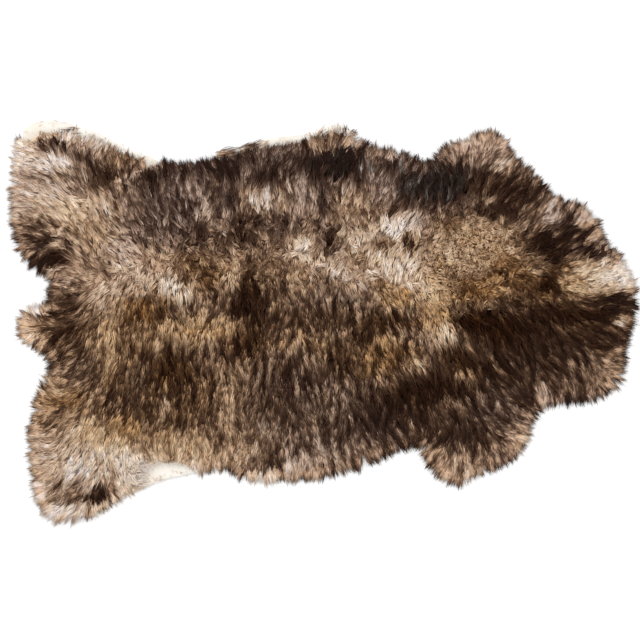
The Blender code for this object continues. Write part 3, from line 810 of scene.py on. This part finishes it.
def make_locks(rng):
    """Every lock of the fleece: its root, its tip, its shade and how it stands."""
    inner, inner_away = lock_places(LOCK_PITCH, RIM_BAND[0], math.inf, rng)
    outer, outer_away = lock_places(RIM_LOCK_PITCH, *RIM_BAND, rng)
    places, away = np.vstack([inner, outer]), np.concatenate([inner_away, outer_away])
    kept = worn_at(places) < rng.uniform(*WORN_OFF, len(places))
    places, away = places[kept], away[kept]
    stand, curl = stand_at(places)
    lie = lie_at(places, rng)
    run = LOCK_RUN * (1 - (1 - UPRIGHT_RUN) * stand) * (1 + rng.normal(0.0, RUN_UNEVEN, len(places)))
    teeth = TOOTH_UNEVEN * waves(places, TOOTH_SIZE, 12.0)
    swept = np.maximum(eased(-places[:, 1], *SWEPT_RIGHT), eased(np.abs(places[:, 0]), *SWEPT_ENDS))
    reach = RIM_REACH + RIM_REACH_EXTRA * swept
    for along, across, radius, extra in FULLER_RIM:
        reach = reach + extra * MM * near(places, (along, across), radius)
    reach = reach * (1 + teeth + rng.normal(0.0, RIM_REACH_UNEVEN, len(places)))
    at_rim = away < RIM_BAND[1]
    run = np.where(at_rim, away + reach, np.maximum(run, SHORTEST_LOCK))
    lands_on = np.array([top_height(*tip) for tip in places + lie * run[:, None]])
    on_skin = (lands_on > SKIN_THICKNESS / 2) & (lands_on < BARE_HEIGHT)
    run = np.where(on_skin, run * BARE_SHARE, run)
    for share in SHORTENING:
        bare = bare_at(places + lie * run[:, None] * share) > BARED
        run = np.where(bare, run * share, run)
    tips = places + lie * run[:, None]
    past_rim = -read_off(to_rim, tips)
    droop = DROOP_HEIGHT + (WOOL_RIM_HEIGHT - DROOP_HEIGHT) * (1 - eased(past_rim, 0.0, RIM_REACH))
    lands_on = np.array([ground_height(*tip) for tip in tips])
    tip_height = np.where(past_rim < 0.0, np.maximum(lands_on, WOOL_RIM_HEIGHT), droop)
    dark, warm = shade_at(places + lie * run[:, None] * SHADE_PLACE)
    return dict(
        place=places, lie=lie, run=run, stand=stand, curl=curl, at_rim=at_rim,
        tip_height=np.maximum(tip_height, lands_on + OVER_GROUND),
        dark=dark + rng.normal(0.0, LOCK_DARKNESS_UNEVEN, len(places)),
        warm=warm + rng.normal(0.0, WARMTH_UNEVEN, len(places)),
    )


rng = np.random.default_rng(WOOL_SEED)
all_locks = make_locks(rng)

# The kinds of strand in a lock: thicker wisps, which hold together, and fine hairs round them.
# Columns: strands a lock, width, ring places, share by which they gather to the tip, how far tips stray.
STRAND_KINDS = {
    "wisp": (3, 0.0030, (0.45,), 0.70, 0.0010),
    "hair": (6, 0.0017, (0.50,), 0.50, 0.0020),
}
STRAND_PROFILE = ((0.0, 0.75), (0.50, 1.0), (0.8, 0.70), (1.0, 0.0))  # place along it, share of its width
STRAND_FLATNESS = 0.45
WIDTH_UNEVEN = (0.7, 1.3)  # shares of its kind's width
LOCK_RADIUS = 0.0047
SHORTER_AT_SIDE = 0.22  # the hairs at a lock's sides are shorter by this share
STRAND_UNEVEN = 0.12
SHORTEST_STRAND = 0.004
RIM_NEATER = 0.5  # how much less tips stray at the rim
KNEE_PLACE = 0.42  # how far along its run a strand is when it bends over
KNEE_LIFT = 0.0032  # times a share between these
KNEE_UNEVEN = (0.5, 1.3)
STAND_LIFT = 0.010  # how much higher wool is that stands up,
KNEE_STAND = 0.5  # with so much of that at its strands' knees
TIP_STAND = 0.4  # and at their tips
TIP_UNEVEN = 0.0012
LOWEST_TIP = 0.0012
BOW = 0.0016  # how far strands bow sideways, and where they curl
CURL_BOW = 0.006
ROOT_SINK = 0.0025  # roots start this deep in the mat, times a share between these
ROOT_SINK_UNEVEN = (0.3, 1.6)
STREAK_WIDTH = 0.0048  # light and dark streaks run along the lie of the wool
STREAK_STEP = 0.0034  # and are this many steps long to either side
STREAK_STEPS = 3
STREAK_AROUND = range(-3, 4)  # squares round each whose mean is taken off
STREAK_DARKNESS = 0.12
STREAK_FADING = 0.35  # the streaks are fainter by this share in the darkest wool,
STREAK_FADES = (0.55, 0.95)  # from the first of these darknesses to the second
STRAND_DARKNESS_UNEVEN = 0.015

# Each strand takes one strip of a map of shades, which has every darkness once for each warmth.
SHADE_MAP = "OFBake"  # the name of the map of shades
DARKNESS_STEPS = 14
WARMTH_STEPS = 8
STRIP_SHARE = 0.36  # how far a strand spreads to either side of its strip's middle
FOOT_SPREAD = 0.03  # and how far its flat foot does along it


def strand_form(rings):
    """The strand that all are bent from: a three-sided spike along Z, cut across at its rings."""
    bm = bmesh.new()
    upwards = Matrix.Translation((0.0, 0.0, 0.5))
    sizes = dict(segments=3, radius1=1.0, radius2=0.0, depth=1.0)
    bmesh.ops.create_cone(bm, cap_ends=True, matrix=upwards, **sizes)
    bmesh.ops.remove_doubles(bm, verts=bm.verts[:], dist=1e-4)
    for ring in rings:
        everything = bm.verts[:] + bm.edges[:] + bm.faces[:]
        bmesh.ops.bisect_plane(bm, geom=everything, plane_co=(0, 0, ring), plane_no=(0, 0, 1))
    bmesh.ops.triangulate(bm, faces=bm.faces[:])
    bm.verts.index_update()
    places = np.array([v.co for v in bm.verts])
    corners = np.array([[v.index for v in face.verts] for face in bm.faces])
    bm.free()
    return places, corners


def bent(places, roots, knees, tips, widths):
    """The form's points, bent along the curve of every strand."""
    t = places[None, :, 2:]
    roots, knees, tips = roots[:, None], knees[:, None], tips[:, None]
    middle = (1 - t) ** 2 * roots + 2 * t * (1 - t) * knees + t ** 2 * tips
    heading = unit((1 - t) * (knees - roots) + t * (tips - knees))
    run = tips - roots
    sideways = unit(np.concatenate([-run[..., 1:2], run[..., 0:1], 0 * run[..., :1]], axis=-1))
    above = np.cross(heading, sideways)
    round_it = unit(places[:, :2])[None] * (places[:, 2] < 1.0)[None, :, None]
    share = np.interp(places[:, 2], *zip(*STRAND_PROFILE))[None, :, None]
    radius = widths[:, None, None] / 2 * share
    return middle + radius * (round_it[..., :1] * sideways + STRAND_FLATNESS * round_it[..., 1:] * above)


def streak_grid(rng):
    """Fine noise over the hide, from which streaks are drawn out. It leaves the patches' tones alone."""
    xs = np.arange(2 * cad_box[0].x, 2 * cad_box[1].x, STREAK_WIDTH)
    ys = np.arange(2 * cad_box[0].y, 2 * cad_box[1].y, STREAK_WIDTH)
    speckle = rng.normal(0.0, 1.0, (len(ys), len(xs)))
    around = speckle
    for axis in (0, 1):
        around = sum(np.roll(around, step, axis) for step in STREAK_AROUND) / len(STREAK_AROUND)
    return xs, ys, speckle - around


streaks_over_hide = streak_grid(rng)


def streak_at(places, lie):
    """How much darker than its patch the wool is at each place, drawn out along its lie."""
    steps = range(-STREAK_STEPS, STREAK_STEPS + 1)
    drawn = sum(read_off(streaks_over_hide, places + lie * (step * STREAK_STEP)) for step in steps)
    return drawn / drawn.std()


def root_heights(places):
    """Height at which a strand comes out of the underwool, or of the bare leather, at each place."""
    tops = np.array([top_height(*place) for place in places])
    leather = [height_of(skin_surface, *place) for place in places]
    return np.maximum(sunk(tops, worn_at(places)), leather)


def strand_map(places, corners, strip):
    """Places in the map of shades: across a strip for each shade, and along it from root to tip."""
    across = 0.5 + STRIP_SHARE * unit(places[:, :2])[:, 0] * (places[:, 2] < 1.0)
    spot = np.stack([across, places[:, 2]], axis=1)[corners]
    flat = np.ptp(spot[:, :, 1], axis=1) == 0.0
    spot[flat, 0, 1] += FOOT_SPREAD
    spots = np.repeat(spot[None], len(strip), axis=0)
    spots[..., 0] = (spots[..., 0] + strip[:, None, None]) / (DARKNESS_STEPS * WARMTH_STEPS)
    return spots


def stepped(values, steps, rounding):
    """The values from 0 to 1 as whole steps."""
    return np.clip((values * (steps - 1) + rounding).astype(int), 0, steps - 1)


def make_strands(locks, kind, rng):
    """All strands of one kind in these locks: points, corners of their faces, and places in the map."""
    per_lock, width, rings, gather, stray = STRAND_KINDS[kind]
    places, corners = strand_form(rings)
    lock = {name: np.repeat(values, per_lock, axis=0) for name, values in locks.items()}
    count = len(lock["run"])
    angle = rng.uniform(0.0, 2 * math.pi, count)
    out = np.sqrt(rng.uniform(0.0, 1.0, count))
    off = np.stack([np.cos(angle), np.sin(angle)], axis=1) * (out * LOCK_RADIUS)[:, None]
    shorter = 1 - SHORTER_AT_SIDE * out ** 2 + rng.normal(0.0, STRAND_UNEVEN, count)
    run = np.maximum(lock["run"] * shorter, SHORTEST_STRAND)
    foot = lock["place"] + off
    tip = lock["place"] + off * (1 - gather) + lock["lie"] * run[:, None]
    tip = tip + rng.normal(0.0, stray, tip.shape) * (1 - RIM_NEATER * lock["at_rim"])[:, None]
    sideways = np.stack([-lock["lie"][:, 1], lock["lie"][:, 0]], axis=1)
    bow = rng.normal(0.0, BOW + (CURL_BOW - BOW) * lock["curl"])
    knee = foot + (tip - foot) * KNEE_PLACE + sideways * bow[:, None]
    foot_height = root_heights(foot) - ROOT_SINK * rng.uniform(*ROOT_SINK_UNEVEN, count)
    foot_height = np.maximum(foot_height, SKIN_THICKNESS / 2)
    tip_height = lock["tip_height"] + rng.normal(0.0, TIP_UNEVEN, count)
    tip_height = np.maximum(tip_height + STAND_LIFT * TIP_STAND * lock["stand"], LOWEST_TIP)
    over = np.array([ground_height(*place) for place in knee])
    knee_height = np.maximum(over, lock["tip_height"]) + KNEE_LIFT * rng.uniform(*KNEE_UNEVEN, count)
    knee_height = knee_height + STAND_LIFT * KNEE_STAND * lock["stand"]
    roots = np.column_stack([foot, foot_height])
    knees = np.column_stack([knee, knee_height])
    tips = np.column_stack([tip, tip_height])
    points = bent(places, roots, knees, tips, width * rng.uniform(*WIDTH_UNEVEN, count))
    streaks = STREAK_DARKNESS * streak_at(foot + (tip - foot) * SHADE_PLACE, lock["lie"])
    streaks = streaks * (1 - STREAK_FADING * eased(lock["dark"], *STREAK_FADES))
    dark = lock["dark"] + streaks + rng.normal(0.0, STRAND_DARKNESS_UNEVEN, count)
    level = stepped(dark, DARKNESS_STEPS, rng.uniform(0, 1, count))
    hue = stepped(lock["warm"], WARMTH_STEPS, 0.5)
    return points, corners, strand_map(places, corners, hue * DARKNESS_STEPS + level)


def joined_mesh(name, batches):
    """One mesh of many like forms: each batch has its points, the corners of its faces and their map."""
    points, corners, spots = [], [], []
    start = 0
    for batch_points, form_corners, batch_spots in batches:
        count, each = batch_points.shape[:2]
        offsets = start + each * np.arange(count)[:, None, None]
        corners.append((form_corners[None] + offsets).reshape(-1, 3))
        points.append(batch_points.reshape(-1, 3))
        spots.append(batch_spots.reshape(-1, 2))
        start += count * each
    points, corners, spots = np.vstack(points), np.vstack(corners), np.vstack(spots)
    mesh = bpy.data.meshes.new(name)
    mesh.from_pydata(points, [], corners)
    mesh.uv_layers.new(name=SHADE_MAP).uv.foreach_set("vector", spots.ravel())
    mesh.shade_smooth()
    return mesh


FIBRES = 5.0  # so many lie across a strand
FIBRE_NOISE = (1.7, 2.0)  # scale and detail
WOOL_ROUGHNESS = (0.50, 0.80)


def wool_material():
    """A strand of wool: its shade comes from its strip of the map, with fine fibres along it."""
    material, tree, shader = new_material("wool")
    spot = add_node(tree, "SeparateXYZ", {0: add_node(tree, "UVMap", uv_map=SHADE_MAP).outputs[0]})
    strips = add_math(tree, "MULTIPLY", spot.outputs["X"], float(DARKNESS_STEPS * WARMTH_STEPS))
    strip = add_math(tree, "FLOOR", strips)
    hue = add_math(tree, "FLOOR", add_math(tree, "DIVIDE", strip, float(DARKNESS_STEPS)))
    level = add_math(tree, "MODULO", strip, float(DARKNESS_STEPS))
    darkness = add_math(tree, "DIVIDE", level, DARKNESS_STEPS - 1.0)
    warmth = add_math(tree, "DIVIDE", hue, WARMTH_STEPS - 1.0)
    across = add_math(tree, "MULTIPLY", add_math(tree, "FRACT", strips), FIBRES)
    where = add_node(tree, "CombineXYZ", {0: across, 1: spot.outputs["Y"], 2: strip}).outputs[0]
    streak = add_noise(tree, where, *FIBRE_NOISE)
    set_inputs(tree, shader, {
        "Base Color": add_wool_colour(tree, darkness, warmth, spot.outputs["Y"], streak),
        "Roughness": add_range(tree, streak, wanted=WOOL_ROUGHNESS),
        "Specular IOR Level": WOOL_SHINE,
    })
    return material


# The parts of the fleece, each a piece of its own: from and to along the spine and across it, in mm.
FLEECE_PARTS = {
    "wool_left_hind_leg": (-600, -330, 0, 400),
    "wool_right_hind_leg": (-600, -330, -400, 0),
    "wool_loin": (-330, -175, -400, 400),
    "wool_back": (-175, -20, -400, 400),
    "wool_ribs": (-20, 130, -400, 400),
    "wool_shoulders": (130, 290, -400, 400),
    "wool_neck": (290, 600, -400, 400),
}

wool = wool_material()
for part, (start, end, right, left) in FLEECE_PARTS.items():
    x, y = all_locks["place"].T / MM
    inside = (x >= start) & (x < end) & (y >= right) & (y < left)
    locks = {name: values[inside] for name, values in all_locks.items()}
    batches = [make_strands(locks, kind, rng) for kind in STRAND_KINDS]
    piece = new_object(part, joined_mesh(part, batches), wool)
    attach(piece, "root")
    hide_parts("sheepskin")


# The hairs at the rim
# Where the leather shows past the wool, short hairs still grow on it, and tufts of long ones, caught when
# the hide was trimmed, lie along its edge. All round, single fine hairs stand out between the rim's locks.

STRAY_PITCH = 0.0026
STRAY_BAND = (-0.040, 0.002)  # distance from the wool's rim
STRAY_RUN = 0.009  # times a share between these
STRAY_RUN_UNEVEN = (0.5, 1.3)
STRAY_SWING = 0.7
STRAY_DARKNESS = 0.30  # share of the fleece's darkness
STRAY_UNEVEN = 0.12
STRAY_HEIGHT = 0.0016  # tips end this high over the leather

# Tufts. Columns: from and to along the spine and across it in mm, strands, darkness, warmth.
TUFTS = (
    (-444, 310, -424, 325, 14, 0.85, 0.35), (-438, 322, -406, 323, 18, 0.82, 0.35),
    (-508, 296, -514, 316, 16, 0.80, 0.60), (-184, 280, -130, 289, 40, 0.74, 0.42),
    (-142, 286, -104, 303, 40, 0.80, 0.42), (-112, 296, -92, 300, 20, 0.30, 0.40),
    (-10, 312, 2, 322, 24, 0.60, 0.36), (16, 314, 24, 332, 24, 0.45, 0.30),
    (36, 314, 37, 334, 12, 0.85, 0.40), (44, 314, 58, 321, 20, 0.75, 0.36),
    (-322, -280, -302, -276, 30, 0.45, 0.40), (-318, -266, -292, -266, 34, 0.10, 0.35),
    (-316, -250, -290, -254, 34, -0.10, 0.35), (-308, -234, -284, -244, 30, 0.0, 0.35),
    (-284, -226, -276, -240, 24, 0.20, 0.40),
)
TUFT_WIDTH = 0.0022
TUFT_ROOTS = (0.0, 0.35)  # its roots lie between these shares of its length,
TUFT_RUN = (0.5, 0.8)  # and its hairs have between these
TUFT_UNEVEN = 0.08  # in darkness


def strays(rng):
    """The short hairs, and those of the tufts, each as a lock of one strand."""
    places = lock_places(STRAY_PITCH, *STRAY_BAND, rng)[0]
    bare = np.array([0.0 < top_height(*place) < BARE_HEIGHT for place in places])
    places = places[bare]
    lie = turned(outwards_at(places), rng.normal(0.0, STRAY_SWING, len(places)))
    run = STRAY_RUN * rng.uniform(*STRAY_RUN_UNEVEN, len(places))
    landing = places + lie * run[:, None]
    caught = np.array([0.0 < top_height(*tip) < WOOL_RIM_HEIGHT for tip in landing])
    places, lie, run = places[caught], lie[caught], run[caught]
    dark, warm = shade_at(places)
    dark = dark * STRAY_DARKNESS + rng.normal(0.0, STRAY_UNEVEN, len(places))
    for x, y, to_x, to_y, count, darkness, warmth in TUFTS:
        way = np.array([to_x - x, to_y - y]) * MM
        starts = np.array([x, y]) * MM + way * rng.uniform(*TUFT_ROOTS, (count, 1))
        starts = starts + rng.normal(0.0, TUFT_WIDTH, (count, 2))
        places = np.vstack([places, starts])
        lie = np.vstack([lie, unit(way + rng.normal(0.0, TUFT_WIDTH, (count, 2)))])
        run = np.append(run, np.linalg.norm(way) * rng.uniform(*TUFT_RUN, count))
        dark = np.append(dark, rng.normal(darkness, TUFT_UNEVEN, count))
        warm = np.append(warm, np.full(count, warmth))
    tips = places + lie * run[:, None]
    none = np.zeros(len(places))
    return dict(
        place=places, lie=lie, run=run, stand=none, curl=none, at_rim=none,
        tip_height=np.array([ground_height(*tip) for tip in tips]) + STRAY_HEIGHT,
        dark=dark, warm=warm,
    )


FRINGE_PALER = 0.12  # than the rim's locks, as light comes through single hairs
fringe = {name: values[all_locks["at_rim"]] for name, values in all_locks.items()}
fringe["dark"] = fringe["dark"] - FRINGE_PALER

STRAND_KINDS["stray"] = (1, 0.0012, (0.5,), 0.0, 0.002)
STRAND_KINDS["fringe"] = (3, 0.0009, (0.5,), -0.3, 0.005)
hair_batches = [make_strands(strays(rng), "stray", rng), make_strands(fringe, "fringe", rng)]
rim_hairs = new_object("rim_hairs", joined_mesh("rim_hairs", hair_batches), wool)
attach(rim_hairs, "root")
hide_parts("sheepskin")


# The floor, the light and the camera
# The rug is photographed from straight above on a white floor, under one wide, soft light.

FLOOR_HALF = 30.0
FLOOR_WHITE = (0.92, 0.92, 0.92, 1.0)
FLOOR_ROUGHNESS = 0.9
SOFTBOX_SIZE = (2.2, 1.6)
SOFTBOX_PLACE = (-0.9, 1.3, 2.3)
SOFTBOX_POWER = 22.0
STUDIO_WHITE = (1.0, 1.0, 1.0, 1.0)
STUDIO_STRENGTH = 1.08
CAMERA_CENTRE = (-0.0058, 0.0050)
PICTURE_WIDTH = 1.065  # how much the picture takes in, at the wool's height
WOOL_MIDDLE = 0.020
LENS = 85.0
SENSOR = 36.0

floor_form = bmesh.new()
bmesh.ops.create_grid(floor_form, x_segments=1, y_segments=1, size=FLOOR_HALF)
floor_material, floor_tree, floor_shader = new_material("floor")
set_inputs(floor_tree, floor_shader, {"Base Color": FLOOR_WHITE, "Roughness": FLOOR_ROUGHNESS})
floor = new_object("floor", mesh_of("floor", floor_form), floor_material)

softbox_data = bpy.data.lights.new("softbox", "AREA")
softbox_data.shape = "RECTANGLE"
softbox_data.size, softbox_data.size_y = SOFTBOX_SIZE
softbox_data.energy = SOFTBOX_POWER
softbox = bpy.data.objects.new("softbox", softbox_data)
softbox.location = SOFTBOX_PLACE
softbox.rotation_euler = (-softbox.location).to_track_quat("-Z", "Y").to_euler()
bpy.context.scene.collection.objects.link(softbox)

world = bpy.data.worlds.new("studio")
world.use_nodes = True
background = world.node_tree.nodes["Background"]
set_inputs(world.node_tree, background, {"Color": STUDIO_WHITE, "Strength": STUDIO_STRENGTH})
bpy.context.scene.world = world
bpy.context.scene.view_settings.view_transform = "Standard"

camera_data = bpy.data.cameras.new("camera")
camera_data.lens = LENS
camera_data.sensor_width = SENSOR
camera = bpy.data.objects.new("camera", camera_data)
camera.location = (*CAMERA_CENTRE, WOOL_MIDDLE + PICTURE_WIDTH * LENS / SENSOR)
bpy.context.scene.collection.objects.link(camera)
bpy.context.scene.camera = camera
